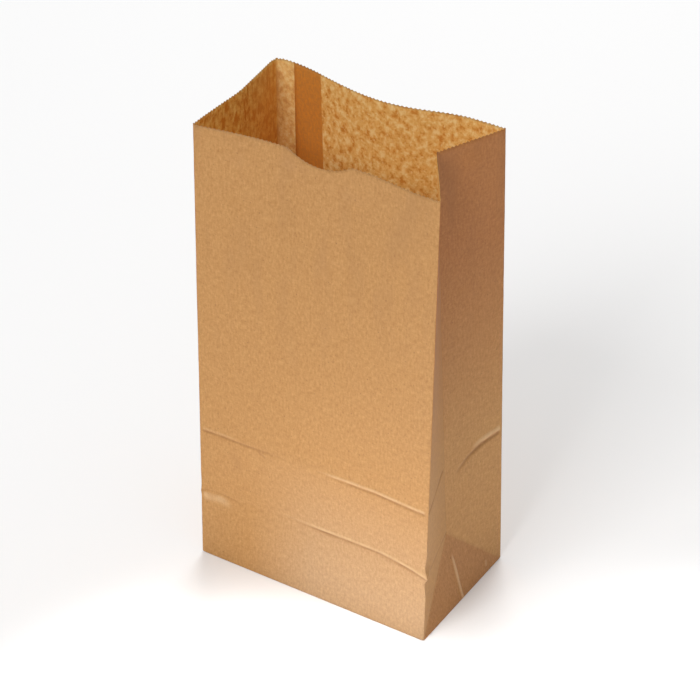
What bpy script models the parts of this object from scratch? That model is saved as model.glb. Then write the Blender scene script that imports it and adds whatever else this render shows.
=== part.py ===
"""A self-opening paper lunch bag, standing open: one sheet of kraft paper, folded and glued.

The sheet is drawn flat first, as the blank it is cut from. Its folds are scored into it, its
mouth gets the saw-tooth cut and the thumb notch, and then it is folded up round the base.
Metres, +Z up. The front panel, with the thumb notch, faces -Y. The bag stands on z = 0.
"""

import math

import bmesh
import bpy
from mathutils import Vector

# Driving dimensions
WIDTH = 0.127  # front and back panels
DEPTH = 0.074  # side gussets, and the base from front to back
HEIGHT = 0.240
PAPER = 0.0001  # one ply

LAP_START = 0.0100  # the glued lap, from the back left corner
LAP_WIDTH = 0.0170
LAP_SETTLE = 0.012  # the ply that goes under the lap is back in line after this run
PLY_EDGE = 0.0001  # run over which a cut edge of paper steps down

FLAP = 0.047  # how far each flap of the base reaches, so front and back overlap by 20 mm

TOOTH_PITCH = 0.0021
TOOTH_DEPTH = 0.0007
NOTCH_WIDTH = 0.033
NOTCH_DEPTH = 0.0057

# How the opened bag stands: where its corners and its gusset folds come to
MOUTH_FRONT_LEFT = Vector((-0.0605, -0.0350))
MOUTH_FRONT_RIGHT = Vector((0.0645, -0.0322))
MOUTH_BACK_RIGHT = Vector((0.0570, 0.0368))
MOUTH_BACK_LEFT = Vector((-0.0645, 0.0370))
RIGHT_FOLD_IN = (0.0102, 0.0185)  # inward, at the top of the base triangle and at the mouth
LEFT_FOLD_IN = (0.0070, 0.0025)
FRONT_BOW = 0.0050  # inward sag of each panel at the mouth
BACK_BOW = 0.0090
FRONT_BOW_REACH = (0.065, 0.055)  # to the left and to the right of the middle
BACK_BOW_REACH = (0.056, 0.046)
BASE_FOLD_BOW = 0.0040  # the front panel gives inward at the fold of the flattened base
STRAIGHT_BELOW = 0.060  # the mouth's sag dies out at this height

# Fineness of the sheet
PANEL_COLUMNS = 12
FOLD_COLUMNS = 4  # in each half of a gusset
BASE_ROWS = FOLD_COLUMNS  # up to the top of the base triangle, so its edges run at 45 degrees
WALL_ROWS = 9
MOUTH_BAND = 0.012

HALF = DEPTH / 2
AROUND = 2 * (WIDTH + DEPTH)
FLOOR = 2.5 * PAPER  # the middle of the base's inner ply; two flaps lie under it
RISE = HEIGHT - FLOOR
BODY = "paper_bag"


def clear_scene():
    for item in list(bpy.data.objects):
        bpy.data.objects.remove(item, do_unlink=True)


def kraft_paper():
    """Unbleached brown paper, matt."""
    material = bpy.data.materials.new("kraft_paper")
    material.use_nodes = True
    shader = material.node_tree.nodes["Principled BSDF"]
    shader.inputs["Base Color"].default_value = (0.53, 0.33, 0.155, 1)
    shader.inputs["Roughness"].default_value = 0.78
    shader.inputs["Metallic"].default_value = 0.0
    return material


# The flat blank: x runs round the bag from the back left corner, y from the base to the mouth


def column_places():
    """Back panel, right gusset, front panel and left gusset, each split evenly."""
    gusset = [(HALF, FOLD_COLUMNS), (HALF, FOLD_COLUMNS)]
    places = [0.0]
    for span, count in [(WIDTH, PANEL_COLUMNS), *gusset, (WIDTH, PANEL_COLUMNS), *gusset]:
        start = places[-1]
        places += [start + span * (k + 1) / count for k in range(count)]
    return places


def row_places():
    base = [HALF * k / BASE_ROWS for k in range(BASE_ROWS)]
    folded = [HALF + HALF * k / BASE_ROWS for k in range(BASE_ROWS)]
    wall = RISE - MOUTH_BAND - DEPTH
    upper = [DEPTH + wall * k / WALL_ROWS for k in range(WALL_ROWS + 1)]
    return base + folded + upper + [RISE]


def flat_blank():
    bm = bmesh.new()
    columns, rows = column_places(), row_places()
    across, up = len(columns) - 1, len(rows) - 1
    bmesh.ops.create_grid(bm, x_segments=across, y_segments=up, size=1)
    for vert in bm.verts:
        column = round((vert.co.x + 1) / 2 * across)
        row = round((vert.co.y + 1) / 2 * up)
        vert.co = Vector((columns[column], rows[row], 0))
    return bm


def score(bm, start, direction, faces):
    """Presses a straight fold line into the given faces."""
    edges = {edge for face in faces for edge in face.edges}
    verts = {vert for face in faces for vert in face.verts}
    normal = Vector((-direction.y, direction.x, 0))
    bmesh.ops.bisect_plane(
        bm, geom=[*faces, *edges, *verts], dist=1e-6, plane_co=start, plane_no=normal
    )


def faces_between(bm, left, right, low=-1.0, high=1.0):
    """The faces whose middle lies in this window of the sheet."""
    found = []
    for face in bm.faces:
        middle = face.calc_center_median()
        if left < middle.x < right and low < middle.y < high:
            found.append(face)
    return found


def score_folds(bm):
    """The 45 degree folds from each base corner, and the edges of the glued lap."""
    for corner in (WIDTH, 2 * WIDTH + DEPTH):
        middle, far = corner + HALF, corner + DEPTH
        rising = faces_between(bm, corner, middle, 0, HALF)
        score(bm, Vector((corner, 0, 0)), Vector((1, 1)), rising)
        falling = faces_between(bm, middle, far, 0, HALF)
        score(bm, Vector((far, 0, 0)), Vector((-1, 1)), falling)
    lap_end = LAP_START + LAP_WIDTH
    for place in (LAP_START, LAP_START + PLY_EDGE, lap_end, lap_end + PLY_EDGE):
        back = faces_between(bm, 0, WIDTH)
        score(bm, Vector((place, 0, 0)), Vector((0, 1)), back)


def notch_drop(along):
    """Depth of the thumb notch, a round cut in the middle of the front panel."""
    from_middle = along - (WIDTH + DEPTH + WIDTH / 2)
    half_width = NOTCH_WIDTH / 2
    if abs(from_middle) >= half_width:
        return 0.0
    radius = (half_width**2 + NOTCH_DEPTH**2) / (2 * NOTCH_DEPTH)
    return math.sqrt(radius**2 - from_middle**2) - (radius - NOTCH_DEPTH)


def cut_mouth(bm):
    """The saw-tooth edge left by the cutting knife, and the thumb notch."""
    edges = [
        edge
        for edge in bm.edges
        if all(abs(vert.co.y - RISE) < 1e-6 for vert in edge.verts)
    ]
    for edge in edges:
        teeth = round(edge.calc_length() / TOOTH_PITCH)
        if teeth:
            left, right = sorted(vert.co.x for vert in edge.verts)
            cut = bmesh.ops.subdivide_edges(bm, edges=[edge], cuts=2 * teeth - 1)
            for vert in cut["geom_inner"]:
                if isinstance(vert, bmesh.types.BMVert):
                    half_teeth = (vert.co.x - left) / (right - left) * 2 * teeth
                    vert.co.y -= TOOTH_DEPTH * (round(half_teeth) % 2)
    for vert in bm.verts:
        if vert.co.y > RISE - MOUTH_BAND / 2:
            vert.co.y -= notch_drop(vert.co.x)


# The folded shape


def blend(a, b, t):
    return a + (b - a) * t


def dome(distance, reach, power):
    """1 in the middle, falling smoothly to 0 at the reach on either side."""
    share = abs(distance) / (reach[0] if distance < 0 else reach[1])
    return (1 - share**power) ** 2 if share < 1 else 0.0


def corner_line(x_side, y_side, height):
    """A vertical corner fold, from its base corner to its place at the mouth."""
    mouth = {
        (-1, -1): MOUTH_FRONT_LEFT,
        (1, -1): MOUTH_FRONT_RIGHT,
        (1, 1): MOUTH_BACK_RIGHT,
        (-1, 1): MOUTH_BACK_LEFT,
    }[x_side, y_side]
    base = Vector((x_side * WIDTH / 2, y_side * HALF))
    place = blend(base, mouth, height / RISE)
    return Vector((place.x, place.y, FLOOR + height))


def gusset_fold(x_side, height):
    """The middle fold of a gusset, above the base triangle."""
    at_apex, at_mouth = RIGHT_FOLD_IN if x_side > 0 else LEFT_FOLD_IN
    drop = HALF - math.sqrt(HALF**2 - at_apex**2)
    share = (height - HALF) / (RISE - HALF)
    mouth = (corner_line(x_side, -1, RISE) + corner_line(x_side, 1, RISE)) / 2
    apex_place = Vector((x_side * (WIDTH / 2 - at_apex), 0))
    mouth_place = Vector((mouth.x - x_side * at_mouth, mouth.y))
    place = blend(apex_place, mouth_place, share)
    return Vector((place.x, place.y, FLOOR + height - drop * (1 - share)))


def gusset(x_side, y_side, from_corner, height):
    """Half a gusset, from its corner fold to the middle fold."""
    if height >= HALF:
        corner = corner_line(x_side, y_side, height)
        return blend(corner, gusset_fold(x_side, height), from_corner / HALF)
    corner = corner_line(x_side, y_side, 0)
    apex = gusset_fold(x_side, HALF)
    if height >= from_corner:  # above the 45 degree fold
        side = corner_line(x_side, y_side, HALF)
        beyond, towards = height - from_corner, from_corner
    else:  # on the base triangle
        side = Vector((x_side * WIDTH / 2, 0, FLOOR))
        beyond, towards = from_corner - height, height
    return corner + (side - corner) * beyond / HALF + (apex - corner) * towards / HALF


def mouth_share(height):
    """How much of the mouth's sag is left at a height."""
    return max(0.0, (height - STRAIGHT_BELOW) / (RISE - STRAIGHT_BELOW)) ** 1.6


def front(from_left, height):
    place = blend(corner_line(-1, -1, height), corner_line(1, -1, height), from_left / WIDTH)
    bow = FRONT_BOW * dome(from_left - WIDTH / 2, FRONT_BOW_REACH, 3) * mouth_share(height)
    near_fold = max(0.0, 1 - abs(height - HALF) / HALF)
    across = 1 - (2 * from_left / WIDTH - 1) ** 4
    place.y += bow + BASE_FOLD_BOW * near_fold * across
    return place


def back(from_left, height):
    place = blend(corner_line(-1, 1, height), corner_line(1, 1, height), from_left / WIDTH)
    sag = BACK_BOW * dome(from_left - WIDTH / 2, BACK_BOW_REACH, 2)
    place.y -= sag * mouth_share(height)
    return place


def folded_place(along, height):
    """Where a point of the blank comes to when the bag is folded up."""
    if along <= WIDTH:
        return back(along, height)
    along -= WIDTH
    if along <= DEPTH:
        y_side = 1 if along <= HALF else -1
        return gusset(1, y_side, min(along, DEPTH - along), height)
    along -= DEPTH
    if along <= WIDTH:
        return front(WIDTH - along, height)
    along -= WIDTH
    y_side = -1 if along <= HALF else 1
    return gusset(-1, y_side, min(along, DEPTH - along), height)


def ply_faces(along):
    """Outer and inner face of the wall, in plies from the sheet's middle."""
    lap_end = LAP_START + LAP_WIDTH
    outer, inner = 0.5, -0.5
    if LAP_START + PLY_EDGE / 2 < along <= lap_end + PLY_EDGE / 2:
        inner -= 1
    elif lap_end < along < lap_end + LAP_SETTLE:
        lowered = 1 - (along - lap_end - PLY_EDGE) / (LAP_SETTLE - PLY_EDGE)
        inner -= lowered
        outer -= lowered
    return outer, inner


def fold_up(bm):
    """Folds the blank round the base, joins its ends and closes the base with one ply."""
    outer = bm.verts.layers.float.new("outer")
    inner = bm.verts.layers.float.new("inner")
    for vert in bm.verts:
        vert[outer], vert[inner] = ply_faces(vert.co.x)
        vert.co = folded_place(vert.co.x, vert.co.y)
    bmesh.ops.remove_doubles(bm, verts=bm.verts, dist=1e-6)
    rim = [edge for edge in bm.edges if edge.is_boundary and edge.verts[0].co.z < 2 * FLOOR]
    bmesh.ops.contextual_create(bm, geom=rim)
    bmesh.ops.recalc_face_normals(bm, faces=bm.faces)


def is_base(face):
    return all(vert.co.z < 2 * FLOOR for vert in face.verts)


def score_base(bm):
    """The outlines of the base's flaps: two cut ends inside, and 45 degree folds below."""
    left, right, near, far = -WIDTH / 2, WIDTH / 2, -HALF, HALF
    lines = [
        (Vector((left + FLAP, 0, 0)), Vector((0, 1))),
        (Vector((right - FLAP, 0, 0)), Vector((0, 1))),
        (Vector((0, near + FLAP, 0)), Vector((1, 0))),
        (Vector((left, near, 0)), Vector((1, 1))),
        (Vector((right, near, 0)), Vector((-1, 1))),
        (Vector((left, far, 0)), Vector((1, -1))),
        (Vector((right, far, 0)), Vector((-1, -1))),
    ]
    for start, direction in lines:
        score(bm, start, direction, [face for face in bm.faces if is_base(face)])


def thicken(bm):
    """Gives the folded sheet its plies, measured square to the paper."""
    outer = bm.verts.layers.float["outer"]
    inner = bm.verts.layers.float["inner"]
    square = bm.verts.layers.float_vector.new("square")
    bm.normal_update()
    for vert in bm.verts:
        vert[square] = vert.normal * vert.calc_shell_factor() * PAPER
    inside = list(bm.verts)
    skin = bmesh.ops.extrude_face_region(bm, geom=bm.faces[:], use_keep_orig=True)
    outside = [item for item in skin["geom"] if isinstance(item, bmesh.types.BMVert)]
    for vert in outside:
        vert.co += vert[square] * vert[outer]
    for vert in inside:
        vert.co += vert[square] * vert[inner]
    bmesh.ops.recalc_face_normals(bm, faces=bm.faces)


def in_front_flap(x, y):
    from_front = y + HALF
    return from_front < FLAP and abs(x) < WIDTH / 2 - from_front


def in_back_flap(x, y):
    from_back = HALF - y
    return from_back < FLAP and abs(x) < WIDTH / 2 - from_back


def add_ply(bm, facing, region):
    """Thickens one side of the base by a ply, over the faces in the region."""
    faces = []
    for face in bm.faces:
        middle = face.calc_center_median()
        flat = face.normal.z * facing > 0.99 and middle.z < 5 * PAPER
        if flat and region(middle.x, middle.y):
            faces.append(face)
    layer = bmesh.ops.extrude_face_region(bm, geom=faces)
    verts = [item for item in layer["geom"] if isinstance(item, bmesh.types.BMVert)]
    bmesh.ops.translate(bm, verts=verts, vec=Vector((0, 0, facing * PAPER)))
    bmesh.ops.delete(bm, geom=faces, context="FACES")


def glue_base(bm):
    """Side flaps inside; the back flap below them, and the front flap over that."""
    add_ply(bm, 1, lambda x, y: abs(x) > WIDTH / 2 - FLAP)
    add_ply(bm, -1, lambda x, y: in_back_flap(x, y) or in_front_flap(x, y))
    add_ply(bm, -1, in_front_flap)


def make_bag():
    bm = flat_blank()
    score_folds(bm)
    cut_mouth(bm)
    fold_up(bm)
    score_base(bm)
    thicken(bm)
    glue_base(bm)
    bmesh.ops.triangulate(bm, faces=bm.faces)
    mesh = bpy.data.meshes.new(BODY)
    bm.to_mesh(mesh)
    bm.free()
    bag = bpy.data.objects.new(BODY, mesh)
    bag.data.materials.append(kraft_paper())
    bpy.context.collection.objects.link(bag)
    return bag


clear_scene()
make_bag()
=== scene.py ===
# %% [markdown]
# # A brown paper lunch bag
# A lunch bag is one sheet of kraft paper. A machine creases it flat, glues one long lap, and folds
# the bottom like the end of a parcel. This lesson makes it in that order: a flat blank with its
# folds scored into it, a function that says where each point of the blank comes to when the bag
# stands open, and then the small wrinkles and the fibres that make it look like paper.

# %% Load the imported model
import math

import bmesh
import bpy
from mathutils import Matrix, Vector, noise


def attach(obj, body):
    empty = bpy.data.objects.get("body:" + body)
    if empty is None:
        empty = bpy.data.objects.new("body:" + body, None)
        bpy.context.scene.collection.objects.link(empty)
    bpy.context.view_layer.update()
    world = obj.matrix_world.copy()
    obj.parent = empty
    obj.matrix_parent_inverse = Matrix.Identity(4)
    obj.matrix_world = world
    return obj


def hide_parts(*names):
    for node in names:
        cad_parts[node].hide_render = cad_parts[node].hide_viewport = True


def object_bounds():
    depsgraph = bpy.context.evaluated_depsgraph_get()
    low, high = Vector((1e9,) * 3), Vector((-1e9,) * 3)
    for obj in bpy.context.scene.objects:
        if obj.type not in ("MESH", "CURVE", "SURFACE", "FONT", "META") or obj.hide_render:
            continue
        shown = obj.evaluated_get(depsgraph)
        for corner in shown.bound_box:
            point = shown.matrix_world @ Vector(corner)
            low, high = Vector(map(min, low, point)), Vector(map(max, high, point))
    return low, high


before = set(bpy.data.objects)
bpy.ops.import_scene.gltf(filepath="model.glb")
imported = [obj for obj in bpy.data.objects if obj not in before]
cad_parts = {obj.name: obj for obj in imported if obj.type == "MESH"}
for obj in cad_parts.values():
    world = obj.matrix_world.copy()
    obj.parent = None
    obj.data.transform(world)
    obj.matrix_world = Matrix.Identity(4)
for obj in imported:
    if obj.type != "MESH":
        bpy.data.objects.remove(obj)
cad_low, cad_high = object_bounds()
print("CAD box, mm:", [round(1000 * side, 1) for side in cad_high - cad_low])

# %% [markdown]
# ## The blank's sizes
# The height comes from the imported model, and the depth is given. The width of the front panel is
# the bag's nominal one, because the open mouth stands a little wider than the base. The columns of
# the mesh are one tooth of the mouth wide, so that every panel holds a whole number of teeth.

# %% Driving dimensions
MM = 0.001
WIDTH = 127 * MM
HEIGHT = cad_high.z
DEPTH = 74 * MM
HALF = DEPTH / 2
AROUND = 2 * (WIDTH + DEPTH)
PAPER = 0.1 * MM
PLY_PITCH = 0.12 * MM  # from the middle of one ply to the next, where they lie on each other

PANEL_TEETH = 60
FOLD_TEETH = 18  # in half a gusset
TOOTH = WIDTH / PANEL_TEETH
TOOTH_DEPTH = 0.6 * MM
FLAP_ROWS = 22
FLAP = FLAP_ROWS * TOOTH
LAP_FIRST, LAP_LAST = 5, 13  # the glued lap's edges, in teeth from the back left corner
LAP_START, LAP_END = LAP_FIRST * TOOTH, LAP_LAST * TOOTH
WALL_ROWS = 78
print("blank, mm:", round(1000 * (AROUND + LAP_END - LAP_START), 1), "x", round(1000 * (HEIGHT + FLAP), 1))

# %% [markdown]
# ## The flat blank
# One grid serves the whole sheet. X runs round the bag from the lap's inner edge on the back panel,
# through the right gusset, the front and the left gusset, to the lap's outer edge. Y runs up from
# the cut ends of the base flaps, through the base fold at 0, to the mouth.

# %% Where the grid's columns and rows lie
def column_place(tooth):
    """Distance round the bag of a column, counted in teeth from the back left corner."""
    gusset_teeth = 2 * FOLD_TEETH
    place = 0.0
    for teeth, span in ((PANEL_TEETH, WIDTH), (gusset_teeth, DEPTH)) * 2:
        if tooth <= teeth:
            return place + span * tooth / teeth
        tooth -= teeth
        place += span
    return place + tooth * TOOTH


def row_place(row):
    if row <= FLAP_ROWS:
        return (row - FLAP_ROWS) * TOOTH
    row -= FLAP_ROWS
    if row <= 2 * FOLD_TEETH:
        return HALF * row / FOLD_TEETH
    return DEPTH + (HEIGHT - DEPTH) * (row - 2 * FOLD_TEETH) / WALL_ROWS


def flat_blank():
    bm = bmesh.new()
    across = 2 * PANEL_TEETH + 4 * FOLD_TEETH + LAP_LAST - LAP_FIRST
    up = FLAP_ROWS + 2 * FOLD_TEETH + WALL_ROWS
    bmesh.ops.create_grid(bm, x_segments=across, y_segments=up, size=1)
    for vert in bm.verts:
        column = round((vert.co.x + 1) / 2 * across)
        row = round((vert.co.y + 1) / 2 * up)
        vert.co = Vector((column_place(column + LAP_FIRST), row_place(row), 0))
    return bm


blank = flat_blank()
print("grid faces:", len(blank.faces))

# %% [markdown]
# ## Scoring the folds
# A fold needs an edge of the mesh along it, or it would come out as a soft bend. bisect_plane cuts
# a straight line into the faces it is given and keeps the sheet whole. A real fold also has a
# radius of about half a millimetre, so each long fold gets a second cut on either side.

# %% Score the folds
FOLD_RADIUS = 0.5 * MM
CORNERS = [0.0, WIDTH, WIDTH + DEPTH, 2 * WIDTH + DEPTH, AROUND]
GUSSET_FOLDS = [WIDTH + HALF, 2 * WIDTH + DEPTH + HALF]


def faces_between(bm, left, right, low, high):
    found = []
    for face in bm.faces:
        middle = face.calc_center_median()
        if left < middle.x < right and low < middle.y < high:
            found.append(face)
    return found


def score(bm, start, direction, faces):
    edges = {edge for face in faces for edge in face.edges}
    verts = {vert for face in faces for vert in face.verts}
    normal = Vector((-direction.y, direction.x, 0))
    geometry = [*faces, *edges, *verts]
    bmesh.ops.bisect_plane(bm, geom=geometry, dist=1e-6, plane_co=start, plane_no=normal)


def score_diagonals(bm):
    """The base corners' 45 degree folds: up into the gussets, and down into the flaps."""
    for left, right in ((WIDTH, WIDTH + DEPTH), (2 * WIDTH + DEPTH, AROUND)):
        middle = (left + right) / 2
        rising = faces_between(bm, left, middle, 0, HALF)
        score(bm, Vector((left, 0, 0)), Vector((1, 1)), rising)
        falling = faces_between(bm, middle, right, 0, HALF)
        score(bm, Vector((right, 0, 0)), Vector((-1, 1)), falling)
    for left, right in ((0, WIDTH), (WIDTH + DEPTH, 2 * WIDTH + DEPTH), (AROUND, AROUND + WIDTH)):
        middle = (left + right) / 2
        falling = faces_between(bm, left, middle, -FLAP, 0)
        score(bm, Vector((left, 0, 0)), Vector((1, -1)), falling)
        rising = faces_between(bm, middle, right, -FLAP, 0)
        score(bm, Vector((right, 0, 0)), Vector((-1, -1)), rising)


def score_beside_folds(bm):
    for fold in [*CORNERS, *GUSSET_FOLDS]:
        for beside in (fold - FOLD_RADIUS, fold + FOLD_RADIUS):
            strip = faces_between(bm, beside - TOOTH, beside + TOOTH, 0, HEIGHT)
            score(bm, Vector((beside, 0, 0)), Vector((0, 1)), strip)
    for fold in (0.0, HALF, DEPTH):
        for beside in (fold - FOLD_RADIUS, fold + FOLD_RADIUS):
            strip = faces_between(bm, 0, AROUND + WIDTH, beside - TOOTH, beside + TOOTH)
            score(bm, Vector((0, beside, 0)), Vector((1, 0)), strip)


score_diagonals(blank)
score_beside_folds(blank)
print("faces after scoring:", len(blank.faces))

# %% [markdown]
# ## The mouth
# The bag is cut from the roll by a toothed knife, which leaves a fine saw-tooth along the mouth.
# The front panel also has a thumb notch, a shallow round cut that makes the flat bag easy to open.
# The top edges are split once, so that each column has a tip on either side and a gullet between.

# %% Cut the mouth
NOTCH_HALF_WIDTH, NOTCH_DEPTH = 16.5 * MM, 5.4 * MM
NOTCH_RADIUS = (NOTCH_HALF_WIDTH**2 + NOTCH_DEPTH**2) / (2 * NOTCH_DEPTH)
FRONT_MIDDLE = WIDTH + DEPTH + WIDTH / 2
NOTCH_SHOULDER, SHOULDER_DROP = 2.5 * MM, 0.35 * MM
NOTCH_PULL = 22 * MM  # the rows of the mesh are drawn down this far below the notch


def notch_drop(along):
    from_middle = abs(along - FRONT_MIDDLE)
    if from_middle >= NOTCH_HALF_WIDTH + NOTCH_SHOULDER:
        return 0.0
    inside = min(from_middle, NOTCH_HALF_WIDTH)
    drop = math.sqrt(NOTCH_RADIUS**2 - inside**2) - (NOTCH_RADIUS - NOTCH_DEPTH)
    from_end = from_middle - NOTCH_HALF_WIDTH
    if abs(from_end) < NOTCH_SHOULDER:  # the knife's arc meets the mouth in a small round shoulder
        drop += SHOULDER_DROP * (1 - abs(from_end) / NOTCH_SHOULDER) ** 2
    return drop


def cut_mouth(bm):
    top = [e for e in bm.edges if all(v.co.y > HEIGHT - 1e-6 for v in e.verts)]
    long_enough = [edge for edge in top if edge.calc_length() > TOOTH / 2]
    cut = bmesh.ops.subdivide_edges(bm, edges=long_enough, cuts=1)
    for vert in cut["geom_inner"]:
        if isinstance(vert, bmesh.types.BMVert):
            vert.co.y -= TOOTH_DEPTH
    for vert in bm.verts:
        reach = (vert.co.y - (HEIGHT - NOTCH_PULL)) / NOTCH_PULL
        if reach > 0:
            vert.co.y -= notch_drop(vert.co.x) * reach


cut_mouth(blank)
print("mouth cut, vertices:", len(blank.verts))

# %% [markdown]
# ## How the opened bag stands
# The base is a flat rectangle. From its corners four folds rise to the mouth, leaning a little, and
# between them each gusset still has its middle fold, which the flat bag was folded along. It pulls
# the gusset inward. At its foot the fold ends where two 45 degree folds come up from the base: the
# triangle below them tips inward with it. The walls sag inward at the mouth, and the front panel
# gives a little at the fold where the flat bag's base was turned up against it.

# %% Corners and gussets
MOUTH = {  # where each corner fold comes to at the mouth: side along X, side along Y
    (-1, -1): Vector((-60.5, -35.0)) * MM,
    (1, -1): Vector((64.5, -32.2)) * MM,
    (1, 1): Vector((57.0, 36.8)) * MM,
    (-1, 1): Vector((-64.5, 37.0)) * MM,
}
FOLD_IN = {1: (10.2 * MM, 18.5 * MM), -1: (7.0 * MM, 2.5 * MM)}  # at the triangle's top, at the mouth


def mix(a, b, share):
    return a + (b - a) * share


def corner_line(x_side, y_side, height):
    base = Vector((x_side * WIDTH / 2, y_side * HALF))
    place = mix(base, MOUTH[x_side, y_side], height / HEIGHT)
    return Vector((place.x, place.y, height))


def gusset_fold(x_side, height):
    at_apex, at_mouth = FOLD_IN[x_side]
    drop = HALF - math.sqrt(HALF**2 - at_apex**2)
    share = (height - HALF) / (HEIGHT - HALF)
    mouth = (corner_line(x_side, -1, HEIGHT) + corner_line(x_side, 1, HEIGHT)) / 2
    apex = Vector((x_side * (WIDTH / 2 - at_apex), 0, HALF - drop))
    top = Vector((mouth.x - x_side * at_mouth, mouth.y, HEIGHT))
    return mix(apex, top, share)


def gusset(x_side, y_side, from_corner, height):
    if height >= HALF:
        corner = corner_line(x_side, y_side, height)
        return mix(corner, gusset_fold(x_side, height), from_corner / HALF)
    corner = corner_line(x_side, y_side, 0)
    apex = gusset_fold(x_side, HALF)
    if height >= from_corner:
        side = corner_line(x_side, y_side, HALF)
        beyond, towards = height - from_corner, from_corner
    else:
        side = Vector((x_side * WIDTH / 2, 0, 0))
        beyond, towards = from_corner - height, height
    return corner + (side - corner) * beyond / HALF + (apex - corner) * towards / HALF


print("gusset fold at the mouth, mm:", [round(1000 * c, 1) for c in gusset_fold(1, HEIGHT)])

# %% Front and back panels
FRONT_SAG, BACK_SAG = 5.0 * MM, 9.0 * MM
FRONT_REACH, BACK_REACH = (65 * MM, 55 * MM), (56 * MM, 46 * MM)
BASE_FOLD_SAG = 4.0 * MM
STRAIGHT_BELOW = 60 * MM


def dome(distance, reach, power):
    """1 in the middle, falling smoothly to 0 at the reach on either side."""
    share = abs(distance) / (reach[0] if distance < 0 else reach[1])
    return (1 - share**power) ** 2 if share < 1 else 0.0


def mouth_share(height):
    return max(0.0, (height - STRAIGHT_BELOW) / (HEIGHT - STRAIGHT_BELOW)) ** 1.6


def panel(y_side, from_left, height):
    share = from_left / WIDTH
    place = mix(corner_line(-1, y_side, height), corner_line(1, y_side, height), share)
    from_middle = from_left - WIDTH / 2
    if y_side > 0:
        place.y -= BACK_SAG * dome(from_middle, BACK_REACH, 2) * mouth_share(height)
        return place
    sag = FRONT_SAG * dome(from_middle, FRONT_REACH, 3) * mouth_share(height)
    near_fold = max(0.0, 1 - abs(height - HALF) / HALF)
    place.y += sag + BASE_FOLD_SAG * near_fold * (1 - (2 * share - 1) ** 4)
    return place


print("front panel's middle at the mouth, mm:", round(1000 * panel(-1, WIDTH / 2, HEIGHT).y, 1))

# %% [markdown]
# ## The folded base
# Below the base fold the blank goes on for one flap's reach. The gussets' ends turn in flat and lie
# inside. The ends of the front and the back turn in below them, and their corners, which would
# stand out past the gussets' ends, fold back on themselves at 45 degrees. Each ply lies on the one
# below, so a level is given to each and eased where one ply climbs over a fold.

# %% Levels of the plies in the base
LEVEL = {"front": 0, "lap": 1, "back": 2, "back_ear": 3, "lap_ear": 4, "front_ear": 5, "side": 6}
EASE = 1.5 * MM
DRAPE = 4.0 * MM
GROUND = PAPER / 2


def eased(level, neighbour, distance):
    """A ply's level, meeting its neighbour's halfway at the fold between them."""
    share = min(1.0, max(0.0, distance) / EASE)
    return mix((level + neighbour) / 2, level, share)


def end_level(name, from_corner, depth):
    """Level of the front's or the back's end, and of its folded-back ears."""
    ear = name + "_ear"
    if from_corner >= depth:
        return eased(LEVEL[name], LEVEL[ear], from_corner - depth)
    towards_side = eased(LEVEL[ear], LEVEL["side"], from_corner)
    return mix((LEVEL[name] + LEVEL[ear]) / 2, towards_side, min(1.0, (depth - from_corner) / EASE))


def side_level(from_front, depth):
    """A gusset's end lies on the ground between the ears, and on top of them beside it."""
    clear = min(from_front, DEPTH - from_front) - depth
    share = min(1.0, max(0.0, 0.5 - clear / DRAPE))
    return LEVEL["side"] * share * share * (3 - 2 * share)


def ground(level):
    return GROUND + level * PLY_PITCH


print("base is", round(1000 * ground(LEVEL["side"]), 2), "mm thick where all its plies meet")

# %% The whole blank, folded
def panel_of(along):
    """Name of the panel at a distance round the bag, and the distance into it."""
    spans = (("back", WIDTH), ("right", DEPTH), ("front", WIDTH), ("left", DEPTH), ("lap", WIDTH))
    for name, span in spans:
        if along <= span + 1e-7:
            return name, along
        along -= span
    return "lap", along


def base_place(name, into, depth):
    if name in ("right", "left"):
        x_side = 1 if name == "right" else -1
        from_front = DEPTH - into if name == "right" else into
        x = x_side * (WIDTH / 2 - depth)
        return Vector((x, from_front - HALF, ground(side_level(from_front, depth))))
    y_side = -1 if name == "front" else 1
    from_left = WIDTH - into if name == "front" else into
    x_side = 1 if from_left > WIDTH / 2 else -1
    from_corner = min(from_left, WIDTH - from_left)
    level = end_level(name, from_corner, depth)
    if from_corner < depth:
        from_corner, depth = depth, from_corner
    return Vector((x_side * (WIDTH / 2 - from_corner), y_side * (HALF - depth), ground(level)))


def wall_place(name, into, height):
    if name == "right":
        y_side = 1 if into <= HALF else -1
        return gusset(1, y_side, min(into, DEPTH - into), height)
    if name == "left":
        y_side = -1 if into <= HALF else 1
        return gusset(-1, y_side, min(into, DEPTH - into), height)
    if name == "front":
        return panel(-1, WIDTH - into, height)
    return panel(1, into, height)


OUT_OF_SQUARE = 1.4 * MM  # the base is folded a little askew, so the left side stands higher


def smooth(share):
    share = min(1.0, max(0.0, share))
    return share * share * (3 - 2 * share)


def folded(along, height):
    name, into = panel_of(along)
    foot = base_place(name, into, max(0.0, -height))
    if height < 0:
        return foot
    place = wall_place(name, into, height)
    place.z = foot.z + place.z * (HEIGHT - foot.z) / HEIGHT
    leftward = smooth(0.5 - place.x / WIDTH)
    place.z += OUT_OF_SQUARE * leftward * height / HEIGHT
    return place


left_tip = folded(2 * WIDTH + DEPTH, HEIGHT)
print("front left corner at the mouth, mm:", [round(1000 * c, 1) for c in left_tip])

# %% [markdown]
# ## Wrinkles and creases
# Paper keeps a mark wherever it was folded. The flat bag's base was turned up against the front
# panel, so a crease runs across the front at half the depth, and its edge left a fainter mark at
# one depth. Lines like these are drawn on the blank as a few points, with a height and a width,
# and every vertex is then pushed square to the paper by what the lines near it say.

# %% Creases, drawn on the blank
FRONT_RIGHT, FRONT_LEFT = WIDTH + DEPTH, 2 * WIDTH + DEPTH
BACK_RIGHT = WIDTH
RIGHT_FOLD, LEFT_FOLD = GUSSET_FOLDS


def from_front_left(distance):
    return FRONT_LEFT - distance * MM


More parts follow.
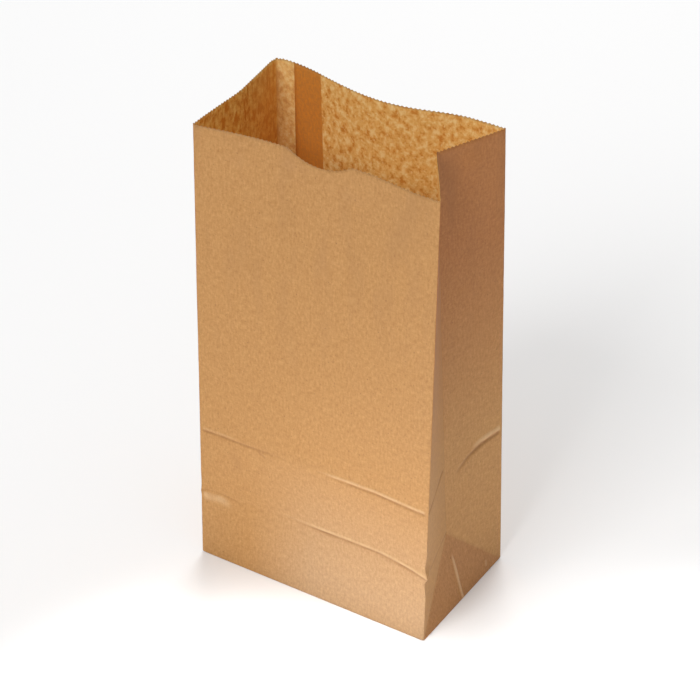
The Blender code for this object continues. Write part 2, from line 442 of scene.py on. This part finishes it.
def on_front(*places):
    """Points on the blank, from millimetres in from the front's left edge and up from the base."""
    return [(from_front_left(across), up * MM) for across, up in places]


def on_right_gusset(*places):
    """The same, from millimetres in from the back right corner."""
    return [(BACK_RIGHT + across * MM, up * MM) for across, up in places]


def crease(points, height, width, fade=(0.15, 0.15)):
    """A line on the blank; height in mm stands out from the paper, or in where it is negative."""
    line = [Vector((x, y)) for x, y in points]
    return {"line": line, "height": height * MM, "width": width * MM, "fade": fade}


CREASES = [
    # The mark of the turned-up base's edge, on the front: pressed in on the left
    crease(on_front((1, 74), (30, 74.3), (52, 75.3)), -0.45, 0.75, (0.02, 0.5)),
    crease(on_front((1, 75.7), (30, 76)), 0.22, 0.8, (0.05, 0.5)),
    # and raised on the right, with a groove below it
    crease(on_front((62, 75.6), (98, 76.4), (126, 75)), 0.45, 0.8, (0.30, 0.03)),
    crease(on_front((66, 73.9), (98, 74.7), (126, 73.3)), -0.40, 0.75, (0.35, 0.03)),
    # The same mark round the corner, on both gussets' front halves
    crease([(FRONT_RIGHT, 74.5 * MM), (RIGHT_FOLD, 75 * MM)], -0.45, 0.8, (0.05, 0.1)),
    crease([(FRONT_LEFT, 74.5 * MM), (LEFT_FOLD, 75 * MM)], -0.45, 0.8, (0.05, 0.1)),
    # The base fold across the front and the gussets' front halves
    crease(on_front((1, 38.4), (10, 38.2), (19, 36), (24, 33.5)), -0.32, 0.8, (0.02, 0.4)),
    crease(on_front((1, 35.6), (10, 35), (20, 31)), 0.34, 2.8, (0.02, 0.6)),
    crease(on_front((40, 39.2), (66, 39), (100, 39.6), (126, 38.2)), 0.40, 0.8, (0.25, 0.0)),
    crease(on_front((46, 37.4), (66, 37.2), (100, 37.8), (126, 36.6)), -0.42, 0.75, (0.2, 0.0)),
    crease([(FRONT_RIGHT, HALF), (RIGHT_FOLD, HALF)], -0.25, 0.8, (0.05, 0.0)),
    crease([(FRONT_LEFT, HALF), (LEFT_FOLD, HALF)], -0.25, 0.8, (0.05, 0.0)),
    # A soft pucker between the two, where the front was bent twice
    crease(on_front((16, 74), (21, 60), (18, 44)), -0.12, 4.2, (0.3, 0.5)),
    # A short nick in the mark on the left
    crease(on_front((33, 73.5), (38, 70.5)), -0.30, 0.9, (0.3, 0.3)),
    # A wrinkle that runs in from the back right corner and turns down, with a ridge above it
    crease(on_right_gusset((1, 76.5), (13, 75.4), (21, 72.8), (27, 69), (31, 64.5)), -0.75, 1.0, (0.05, 0.4)),
    crease(on_right_gusset((1, 79.2), (14, 78), (22, 75.4)), 0.60, 1.4, (0.05, 0.5)),
    # The middle fold goes on down the base triangle, pressed flat again
    crease([(RIGHT_FOLD, 27 * MM), (RIGHT_FOLD, 0)], 0.70, 0.8, (0.25, 0.0)),
    crease([(LEFT_FOLD, 27 * MM), (LEFT_FOLD, 0)], 0.70, 0.8, (0.25, 0.0)),
    # A nick near the back corner of the base
    crease(on_right_gusset((12, 7), (13.5, 2.5)), 0.30, 0.8, (0.3, 0.3)),
]
BUCKLES = [  # wide soft hollows below the mouth, where a hand opened the bag
    crease(on_front((21, 228), (20, 200)), -0.90, 5.0, (0.2, 0.5)),
    crease(on_front((49, 233), (51, 190)), -1.10, 5.5, (0.1, 0.5)),
    crease(on_front((81, 228), (78, 168)), -1.00, 5.0, (0.1, 0.5)),
    crease(on_right_gusset((18, 236), (16, 180)), 0.80, 6.0, (0.1, 0.6)),
]
print("creases:", len(CREASES), "and soft buckles:", len(BUCKLES))

# %% A finer mesh near the creases
REFINE_WITHIN = 2.6 * MM
REFINE_BELOW = 90 * MM  # the narrow creases all lie below this height


def along_line(line, point):
    """Distance from a line of points, and the share of its length passed."""
    lengths = [(b - a).length for a, b in zip(line, line[1:])]
    best, passed = None, 0.0
    for a, b, length in zip(line, line[1:], lengths):
        ahead = (b - a) / length
        t = min(1.0, max(0.0, (point - a).dot(ahead) / length))
        gap = point - (a + ahead * length * t)
        if best is None or gap.length < best[0]:
            best = (gap.length, (passed + length * t) / sum(lengths))
        passed += length
    return best


def refine_near(bm, lines):
    """Splits the mesh's edges near a line, so that a narrow crease has faces to lie on."""
    near = []
    for edge in bm.edges:
        middle = ((edge.verts[0].co + edge.verts[1].co) / 2).to_2d()
        if edge.calc_length() > TOOTH / 2 and -TOOTH < middle.y < REFINE_BELOW:
            if any(along_line(line, middle)[0] < REFINE_WITHIN for line in lines):
                near.append(edge)
    bmesh.ops.subdivide_edges(bm, edges=near, cuts=2, use_grid_fill=True)


refine_near(blank, [item["line"] for item in CREASES])
print("faces after refining:", len(blank.faces))

# %% Fold the blank up
def fold_blank(bm):
    """Keeps each vertex's place on the blank, and moves it to its place on the bag."""
    along = bm.verts.layers.float.new("along")
    height = bm.verts.layers.float.new("height")
    unfolded = bm.loops.layers.uv.new("blank")
    for face in bm.faces:
        for loop in face.loops:
            loop[unfolded].uv = loop.vert.co.to_2d() / DEPTH
    for vert in bm.verts:
        vert[along], vert[height] = vert.co.x, vert.co.y
        vert.co = folded(vert.co.x, vert.co.y)
    bm.normal_update()
    return along, height


along_layer, height_layer = fold_blank(blank)
front_faces = [face for face in blank.faces if face.calc_center_median().y < -30 * MM]
outward = sum(-face.normal.y for face in front_faces)
print("the front's faces point", "outward" if outward > 0 else "inward")
if outward < 0:
    bmesh.ops.reverse_faces(blank, faces=blank.faces)
    blank.normal_update()

# %% Push out the wrinkles
WAVE_HEIGHT, COCKLE_HEIGHT = 0.55 * MM, 0.07 * MM
WAVE_SIZE, COCKLE_SIZE = Vector((46, 80)) * MM, 11 * MM
STIFF_BESIDE_FOLD = 9 * MM
FULL_MARK = 0.8 * MM  # the span of heights that shows as the darkest groove to the palest ridge
LAP_CLIMB = 3 * MM  # run over which the outer ply climbs onto the inner one
FLAT_BELOW = 12 * MM  # the waves die out toward the base's edge, which stays on the ground


def from_fold(along):
    """Distance to the nearest upright fold, which keeps the paper near it stiff and straight."""
    return min(abs(along - fold) for fold in [*CORNERS, *GUSSET_FOLDS])


def wave_here(along, height):
    broad = noise.noise(Vector((along / WAVE_SIZE.x, height / WAVE_SIZE.y, 3.7)))
    small = noise.noise(Vector((along / COCKLE_SIZE, height / COCKLE_SIZE, 9.1)))
    loose = 0.25 + 0.75 * smooth(from_fold(along) / STIFF_BESIDE_FOLD)
    return WAVE_HEIGHT * broad * loose + COCKLE_HEIGHT * small


def wave(along, height):
    """Broad waves and the fine cockling of paper that has been handled and is slightly damp.

    Over the left gusset they turn into the back panel's, so that the lap's plies lie close."""
    joined = smooth((along - FRONT_LEFT) / DEPTH)
    if joined == 0:
        return wave_here(along, height)
    return mix(wave_here(along, height), wave_here(along - AROUND, height), joined)


def crease_height(item, point):
    distance, passed = along_line(item["line"], point)
    width = item["width"]
    if distance > 3.5 * width:
        return 0.0
    start, end = item["fade"]
    strength = smooth(passed / start) if start else 1.0
    strength *= smooth((1 - passed) / end) if end else 1.0
    strength *= 0.8 + 0.5 * noise.noise(Vector((point.x / (6 * MM), point.y / (6 * MM), 1.3)))
    return item["height"] * strength * math.exp(-((distance / width) ** 2))


def wrinkle(bm):
    pushed = bm.verts.layers.float.new("crease")
    for vert in bm.verts:
        point = Vector((vert[along_layer], vert[height_layer]))
        marks = sum(crease_height(item, point) for item in CREASES)
        soft = sum(crease_height(item, point) for item in BUCKLES)
        rise = smooth(point.y / FLAT_BELOW)
        push = marks + soft + wave(point.x, point.y) * rise
        if point.x > AROUND - LAP_CLIMB:
            push += PLY_PITCH * smooth((point.x - AROUND + LAP_CLIMB) / LAP_CLIMB)
        vert[pushed] = min(1.0, max(0.0, 0.5 + marks / FULL_MARK))
        if point.y > 0:
            vert.co += vert.normal * push


wrinkle(blank)
print("highest point, mm:", round(1000 * max(v.co.z for v in blank.verts), 2))

# %% [markdown]
# ## The ears beside the base fold
# Where the crease across the front meets the corner fold, the paper was bent both ways at once and
# keeps a small hard ear, with a pinch above and below it. It shows in the outline.

# %% Pinch the corners
EAR = {FRONT_RIGHT: 1.0, FRONT_LEFT: 0.12}
EAR_REACH = 6 * MM
EAR_SHAPE = ((1.9, 37.3, 1.6), (-1.2, 43.0, 4.0), (-0.9, 32.5, 3.5))  # outward, height and size, mm


def pinch(bm):
    for vert in bm.verts:
        for corner, strength in EAR.items():
            aside = abs(vert[along_layer] - corner)
            if aside < 3 * EAR_REACH and vert[height_layer] > 0:
                side = 1 if corner == FRONT_RIGHT else -1
                reach = math.exp(-((aside / EAR_REACH) ** 2))
                for out, height, size in EAR_SHAPE:
                    away = (vert[height_layer] - height * MM) / (size * MM)
                    move = out * MM * strength * reach * math.exp(-(away**2))
                    vert.co += Vector((side * 0.8, -0.45, 0)) * move


ROUND_BY, ROUND_REACH = 1.6 * MM, 2.6 * MM
ROUND_ABOVE = 170 * MM


def round_corner(bm):
    """The back left fold has opened up at the mouth, so its tip is round."""
    for vert in bm.verts:
        aside = min(abs(vert[along_layer]), abs(vert[along_layer] - AROUND))
        rise = smooth((vert[height_layer] - ROUND_ABOVE) / (HEIGHT - ROUND_ABOVE))
        vert.co += Vector((0.7, -0.7, 0)) * ROUND_BY * rise * math.exp(-((aside / ROUND_REACH) ** 2))


pinch(blank)
round_corner(blank)

# %% Make the sheet
def make_sheet(bm):
    for face in bm.faces:
        face.smooth = True
    mesh = bpy.data.meshes.new("paper_sheet")
    bm.to_mesh(mesh)
    bm.free()
    sheet = bpy.data.objects.new("paper_sheet", mesh)
    bpy.context.collection.objects.link(sheet)
    ply = sheet.modifiers.new("ply", "SOLIDIFY")
    ply.thickness = PAPER
    ply.offset = 0
    ply.material_offset = 1
    ply.material_offset_rim = 2
    return sheet


paper_sheet = make_sheet(blank)
print("sheet:", len(paper_sheet.data.polygons), "faces")

# %% [markdown]
# ## Kraft paper
# Unbleached kraft is brown because its fibres still hold lignin. Close to, it is a felt of pale and
# dark fibres, with small dark flecks. The pattern is laid out on the blank's own map, so it follows
# the paper round every fold.

# %% Helpers for the materials
def new_material(name):
    material = bpy.data.materials.new(name)
    material.use_nodes = True
    tree = material.node_tree
    return material, tree, tree.nodes["Principled BSDF"]


def add(tree, kind, **settings):
    node = tree.nodes.new(kind)
    for key, value in settings.items():
        setattr(node, key, value)
    return node


def connect(tree, source, target):
    tree.links.new(source, target)


def paper_map(tree, stretch=(1, 1), turn=0.0):
    """The blank's own map in metres, turned and stretched."""
    unfolded = add(tree, "ShaderNodeUVMap", uv_map="blank")
    mapping = add(tree, "ShaderNodeMapping")
    mapping.inputs["Rotation"].default_value = (0, 0, turn)
    mapping.inputs["Scale"].default_value = (DEPTH * stretch[0], DEPTH * stretch[1], 1)
    connect(tree, unfolded.outputs["UV"], mapping.inputs["Vector"])
    return mapping.outputs["Vector"]


def speckle(tree, size, stretch=(1, 1), turn=0.0, detail=2.0, roughness=0.5):
    """Noise whose blotches are about this size, in metres."""
    texture = add(tree, "ShaderNodeTexNoise")
    texture.inputs["Scale"].default_value = 1 / size
    texture.inputs["Detail"].default_value = detail
    texture.inputs["Roughness"].default_value = roughness
    connect(tree, paper_map(tree, stretch, turn), texture.inputs["Vector"])
    return texture.outputs["Fac"]


def remap(tree, value, low, high, to_low=0.0, to_high=1.0):
    node = add(tree, "ShaderNodeMapRange")
    for socket, number in (("From Min", low), ("From Max", high), ("To Min", to_low), ("To Max", to_high)):
        node.inputs[socket].default_value = number
    connect(tree, value, node.inputs["Value"])
    return node.outputs["Result"]


def math_node(tree, operation, *values):
    node = add(tree, "ShaderNodeMath", operation=operation)
    for socket, value in zip(node.inputs, values):
        if isinstance(value, (int, float)):
            socket.default_value = value
        else:
            connect(tree, value, socket)
    return node.outputs["Value"]


def times(tree, first, second):
    return math_node(tree, "MULTIPLY", first, second)


def mix_colour(tree, share, first, second, blend="MIX"):
    node = add(tree, "ShaderNodeMix", data_type="RGBA", blend_type=blend)
    factor, a, b = node.inputs[0], node.inputs[6], node.inputs[7]  # the node's sockets for colours
    for socket, value in ((factor, share), (a, first), (b, second)):
        if isinstance(value, (int, float)):
            socket.default_value = value
        elif isinstance(value, tuple):
            socket.default_value = (*value, 1)
        else:
            connect(tree, value, socket)
    return node.outputs[2]


# %% Fibres and flecks
KRAFT = (0.485, 0.238, 0.069)
KRAFT_PALE = (0.605, 0.330, 0.120)
KRAFT_DARK = (0.370, 0.160, 0.036)
FLECK = (0.250, 0.105, 0.028)


def fibres(tree):
    """Fibres lying mostly up the sheet, as the paper machine leaves them, and a few across."""
    up = speckle(tree, 1.6 * MM, (1.5, 0.6), 0.12, 5.0, 0.68)
    across = speckle(tree, 1.4 * MM, (0.6, 1.5), -0.5, 5.0, 0.68)
    return math_node(tree, "ADD", times(tree, up, 0.65), times(tree, across, 0.35))


def felt_colour(tree, ground_colour, pale, dark, fleck):
    felt = fibres(tree)
    colour = mix_colour(tree, remap(tree, felt, 0.50, 0.66, 0, 0.8), ground_colour, pale)
    colour = mix_colour(tree, remap(tree, felt, 0.50, 0.34, 0, 0.8), colour, dark)
    cloud = speckle(tree, 5 * MM, (1, 0.7), detail=3.0)
    colour = mix_colour(tree, remap(tree, cloud, 0.52, 0.72, 0, 0.12), colour, pale)
    colour = mix_colour(tree, remap(tree, cloud, 0.48, 0.28, 0, 0.12), colour, dark)
    flecks = speckle(tree, 1.1 * MM, (1, 0.7), 0.4, 1.0)
    colour = mix_colour(tree, remap(tree, flecks, 0.70, 0.76, 0, 0.55), colour, fleck)
    return colour, felt


def finish_paper(tree, shader, colour, felt, bump, shine):
    connect(tree, colour, shader.inputs["Base Color"])
    rough = 0.80 - 0.35 * shine
    connect(tree, remap(tree, felt, 0.3, 0.7, rough - 0.07, rough + 0.07), shader.inputs["Roughness"])
    shader.inputs["Specular IOR Level"].default_value = 0.3 + 0.5 * shine
    grain = add(tree, "ShaderNodeBump")
    grain.inputs["Strength"].default_value = bump
    grain.inputs["Distance"].default_value = 0.08 * MM
    connect(tree, felt, grain.inputs["Height"])
    connect(tree, grain.outputs["Normal"], shader.inputs["Normal"])


print("kraft, from pale to dark:", KRAFT_PALE, KRAFT, KRAFT_DARK)

# %% [markdown]
# ## Tone, painted shade and a painted sheen
# Paper is not one even brown: the front is a little clouded near the mouth. The gussets are
# painted a darker brown toward the mouth and in the two base triangles, as painted shade, and the
# front is painted paler near its base on the right, as a painted sheen of the white floor. Masks on
# the blank's map say where.

# %% Masks on the blank
def blank_place(tree, axis):
    unfolded = add(tree, "ShaderNodeUVMap", uv_map="blank")
    split = add(tree, "ShaderNodeSeparateXYZ")
    connect(tree, unfolded.outputs["UV"], split.inputs["Vector"])
    return split.outputs[axis]


def band_mask(tree, start, end, soft, soft_end=None):
    """1 between two distances round the bag, with edges this soft."""
    across = blank_place(tree, "X")
    after = remap(tree, across, (start - soft) / DEPTH, start / DEPTH)
    before = remap(tree, across, end / DEPTH, (end + (soft_end or soft)) / DEPTH, 1, 0)
    return math_node(tree, "MULTIPLY", after, before)


def height_ramp(tree, none_at, full_at, full):
    return remap(tree, blank_place(tree, "Y"), none_at / DEPTH, full_at / DEPTH, 0, full)


def triangle_mask(tree, fold):
    """1 on the base triangle, under the two 45 degree folds that meet on a gusset's middle fold."""
    from_fold_line = math_node(tree, "SUBTRACT", blank_place(tree, "X"), fold / DEPTH)
    aside = math_node(tree, "ABSOLUTE", from_fold_line)
    reach = math_node(tree, "ADD", aside, blank_place(tree, "Y"))
    return remap(tree, reach, HALF / DEPTH, (HALF - 0.8 * MM) / DEPTH)


print("the base triangles rise to, mm:", round(1000 * HALF, 1))

# %% Outer face
# pale for crease ridges: partly rubbed fibre, partly a painted highlight
RUBBED_AND_HIGHLIGHT = (0.740, 0.500, 0.270)
# dark for crease grooves, partly crushed fibre and partly painted shade, and painted shade inside the mouth
CRUSHED_AND_SHADE = (0.270, 0.110, 0.030)
CLOUDED = (0.380, 0.185, 0.060)
# painted shade, multiplied over the gussets toward the mouth
GUSSET_SHADE = (0.93, 0.72, 0.60)
# painted shade, multiplied over the two base triangles
TRIANGLE_SHADE = (0.94, 0.84, 0.82)
# a painted sheen near the front's base, pale and dark with the fibres
SHEEN_PALE = (0.590, 0.375, 0.205)
SHEEN_DARK = (0.430, 0.255, 0.125)


def wear_and_crease_light(tree, colour, pale, dark):
    """Ridges painted pale and grooves dark: partly rubbed and crushed fibre, partly painted light and shade.
    """
    mark = add(tree, "ShaderNodeAttribute", attribute_name="crease").outputs["Fac"]
    colour = mix_colour(tree, remap(tree, mark, 0.55, 1.0, 0, 0.55), colour, pale)
    return mix_colour(tree, remap(tree, mark, 0.45, 0.0, 0, 0.60), colour, dark)


def tone(tree, colour, felt):
    clouds = remap(tree, speckle(tree, 11 * MM, (1, 0.22), detail=2.0), 0.50, 0.66, 0, 0.30)
    clouds = times(tree, clouds, height_ramp(tree, 100 * MM, 200 * MM, 1.0))
    colour = mix_colour(tree, clouds, colour, CLOUDED)
    # Painted shade: the gussets darken toward the mouth and on their base triangles.
    upward = height_ramp(tree, 85 * MM, 190 * MM, 1.0)
    deeper = mix_colour(tree, upward, colour, GUSSET_SHADE, "MULTIPLY")
    for fold in GUSSET_FOLDS:
        deeper = mix_colour(tree, triangle_mask(tree, fold), deeper, TRIANGLE_SHADE, "MULTIPLY")
    for corner in (BACK_RIGHT, FRONT_LEFT):
        side = band_mask(tree, corner, corner + DEPTH, 0.4 * MM)
        colour = mix_colour(tree, side, colour, deeper)
    # Painted sheen: the front's lower right is painted paler toward the base.
    low = height_ramp(tree, 82 * MM, 12 * MM, 0.75)
    sheen_side = band_mask(tree, FRONT_RIGHT, from_front_left(62), 0.8 * MM, 36 * MM)
    sheen = mix_colour(tree, remap(tree, felt, 0.36, 0.64), SHEEN_DARK, SHEEN_PALE)
    return mix_colour(tree, times(tree, low, sheen_side), colour, sheen)


def kraft_outside():
    material, tree, shader = new_material("kraft_outside")
    colour, felt = felt_colour(tree, KRAFT, KRAFT_PALE, KRAFT_DARK, FLECK)
    colour = tone(tree, colour, felt)
    # Painted highlight and shade on the creases, together with rubbed and crushed fibre.
    colour = wear_and_crease_light(tree, colour, RUBBED_AND_HIGHLIGHT, CRUSHED_AND_SHADE)
    finish_paper(tree, shader, colour, felt, bump=0.5, shine=0.45)
    return material


outside = kraft_outside()
print("outside:", len(outside.node_tree.nodes), "nodes")

# %% [markdown]
# ## The inside, with light behind it
# Thin kraft lets light through, and lets more through where its fibres happen to lie thin. So the
# inside of an open bag glows in an uneven, cloudy pattern, while the glued lap, two plies thick,
# shows as a plain darker band. That light is painted into the colour here: the glow and its pattern
# are painted light, and the lap's band and the left gusset's shaded inside are painted shade.

# %% Inner face
# Colours of the painted glow, and of the painted shade on the lap and the left gusset.
GLOW = (0.830, 0.480, 0.135)
GLOW_BRIGHT = (0.940, 0.675, 0.295)
GLOW_DEEP = (0.640, 0.260, 0.040)
GLOW_PALE = (1.0, 0.780, 0.380)
GLOW_WARM = (0.980, 0.560, 0.140)
GUSSET_GLOW_TINT = (1.0, 0.90, 0.62)
LAP_BROWN = (0.560, 0.225, 0.042)
LAP_PALE = (0.760, 0.300, 0.035)
SHADED_BROWN = (0.660, 0.235, 0.020)


def rim_mask(tree):
    """A narrow strip just below the mouth, painted dark on the inside as painted shade along the edge."""
    return height_ramp(tree, HEIGHT - 1.7 * MM, HEIGHT - 0.5 * MM, 0.55)


def kraft_inside():
    material, tree, shader = new_material("kraft_inside")
    # The glow and its cloudy pattern are painted light, shining through the paper.
    cloud = speckle(tree, 3.2 * MM, (1, 0.8), 0.3, 6.0, 0.68)
    colour = mix_colour(tree, remap(tree, cloud, 0.51, 0.61), GLOW, GLOW_BRIGHT)
    colour = mix_colour(tree, remap(tree, cloud, 0.49, 0.38), colour, GLOW_DEEP)
    spots = speckle(tree, 1.7 * MM, (1, 1), 1.0, 3.0)
    colour = mix_colour(tree, remap(tree, spots, 0.58, 0.68, 0, 0.8), colour, GLOW_BRIGHT)
    # Painted shade on the left gusset's inside, with warmer glowing streaks.
    streaks = speckle(tree, 4.0 * MM, (1.3, 0.40), 0.05, 6.0, 0.7)
    warmer = mix_colour(tree, 1.0, colour, GUSSET_GLOW_TINT, "MULTIPLY")
    shaded = mix_colour(tree, remap(tree, streaks, 0.42, 0.50), SHADED_BROWN, warmer)
    # Painted light: the left gusset glows warmer near the back corner.
    by_the_corner = band_mask(tree, AROUND - 16 * MM, AROUND, 14 * MM, 1 * MM)
    shaded = mix_colour(tree, times(tree, by_the_corner, 0.34), shaded, GLOW_WARM)
    left_gusset = band_mask(tree, FRONT_LEFT, AROUND, 1.5 * MM)
    colour = mix_colour(tree, left_gusset, colour, shaded)
    # Painted light: the back beside the lap glows paler.
    beside_lap = band_mask(tree, AROUND, AROUND + LAP_END, 1.5 * MM)
    colour = mix_colour(tree, times(tree, beside_lap, 0.22), colour, GLOW_PALE)
    felt = fibres(tree)
    # Painted shade: the lap, two plies thick, lets less light through and is painted as a darker band.
    plain = mix_colour(tree, remap(tree, felt, 0.42, 0.60, 0, 0.7), LAP_BROWN, LAP_PALE)
    colour = mix_colour(tree, band_mask(tree, LAP_START, LAP_END, 0.3 * MM), colour, plain)
    # Painted shade along the inside of the mouth.
    colour = mix_colour(tree, rim_mask(tree), colour, CRUSHED_AND_SHADE)
    finish_paper(tree, shader, colour, felt, bump=0.35, shine=0.0)
    return material


inside = kraft_inside()
print("inside:", len(inside.node_tree.nodes), "nodes")

# %% Cut edge
# the cut edge's colours, darkened partly as painted shade along the mouth
EDGE_DARK, EDGE_PALE = (0.120, 0.050, 0.015), (0.260, 0.120, 0.040)


def kraft_edge():
    """The cut edge: torn fibre ends, painted much darker than the face, partly as painted shade."""
    material, tree, shader = new_material("kraft_edge")
    felt = fibres(tree)
    colour = mix_colour(tree, remap(tree, felt, 0.4, 0.6), EDGE_DARK, EDGE_PALE)
    finish_paper(tree, shader, colour, felt, bump=0.2, shine=0.0)
    return material


for finish in (outside, inside, kraft_edge()):
    paper_sheet.data.materials.append(finish)
print("materials:", [m.name for m in paper_sheet.data.materials])

# %% Give the sheet to the frame
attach(paper_sheet, "root")
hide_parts("paper_bag")

# %% [markdown]
# ## Floor, light and camera
# Soft lamps stand high in front and behind, in a pale room. A vertical wall catches little of a
# high lamp's light, so much of what brightens it comes up from the floor. Narrow lamps on the floor
# before the bag's right corner send light up the lower walls, as a white table does.

# %% Floor and world
FLOOR_HALF = 3.0
FLOOR_GLOW = 0.06
FLOOR_DROP = 0.2 * MM  # keeps the floor clear of the base's lowest ply


def pale_floor():
    bm = bmesh.new()
    bmesh.ops.create_grid(bm, x_segments=1, y_segments=1, size=FLOOR_HALF)
    bmesh.ops.translate(bm, verts=bm.verts, vec=(0, 0, -FLOOR_DROP))
    mesh = bpy.data.meshes.new("floor")
    bm.to_mesh(mesh)
    bm.free()
    floor = bpy.data.objects.new("floor", mesh)
    bpy.context.collection.objects.link(floor)
    material, tree, shader = new_material("floor_white")
    shader.inputs["Base Color"].default_value = (0.90, 0.90, 0.90, 1)
    shader.inputs["Roughness"].default_value = 0.8
    shader.inputs["Emission Color"].default_value = (1, 1, 1, 1)
    shader.inputs["Emission Strength"].default_value = FLOOR_GLOW
    floor.data.materials.append(material)


def white_world(strength):
    world = bpy.data.worlds.new("studio")
    world.use_nodes = True
    background = world.node_tree.nodes["Background"]
    background.inputs["Color"].default_value = (1, 1, 1, 1)
    background.inputs["Strength"].default_value = strength
    bpy.context.scene.world = world


pale_floor()
white_world(0.40)

# %% Lamps
def hang(name, lamp, place, target):
    holder = bpy.data.objects.new(name, lamp)
    holder.location = place
    holder.rotation_euler = (Vector(target) - Vector(place)).to_track_quat("-Z", "Y").to_euler()
    bpy.context.collection.objects.link(holder)


def soft_lamp(name, place, size, power):
    """A square area lamp that looks at the middle of the bag."""
    lamp = bpy.data.lights.new(name, "AREA")
    lamp.size = size
    lamp.energy = power
    hang(name, lamp, place, (0, 0, HEIGHT / 2))


def floor_lamp(name, place, target, radius, power):
    """A narrow lamp from above that lights a round patch of the floor."""
    lamp = bpy.data.lights.new(name, "SPOT")
    lamp.energy = power
    lamp.shadow_soft_size = 0.05
    lamp.spot_size = 2 * math.atan(radius / (Vector(target) - Vector(place)).length)
    lamp.spot_blend = 0.8
    hang(name, lamp, place, target)


soft_lamp("front", (-0.1, -1.7, 1.7), 1.0, 24)
soft_lamp("back", (-0.5, 1.35, 1.75), 1.0, 21)
floor_lamp("front_patch", (0.08, -0.30, 1.6), (0.05, -0.16, 0), 0.13, 262)
floor_lamp("right_patch", (0.45, -0.10, 1.6), (0.22, -0.04, 0), 0.13, 118)

# %% Camera
AZIMUTH, ELEVATION = math.radians(32.15), math.radians(34.38)
DISTANCE = 1.173
SENSOR = 36.0
FRAMES_PER_METRE = 3.06  # frame widths that one metre takes at the bag


def aim_camera():
    data = bpy.data.cameras.new("camera")
    data.sensor_width = SENSOR
    data.lens = SENSOR * FRAMES_PER_METRE * DISTANCE
    camera = bpy.data.objects.new("camera", data)
    aim = Vector((-0.0008, 0, 0.5075 * HEIGHT))
    level = math.cos(ELEVATION)
    back = Vector((math.sin(AZIMUTH) * level, -math.cos(AZIMUTH) * level, math.sin(ELEVATION)))
    camera.location = aim + back * DISTANCE
    camera.rotation_euler = (-back).to_track_quat("-Z", "Y").to_euler()
    bpy.context.collection.objects.link(camera)
    bpy.context.scene.camera = camera
    print("lens, mm:", round(data.lens, 1))


aim_camera()
bpy.context.scene.view_settings.view_transform = "Standard"
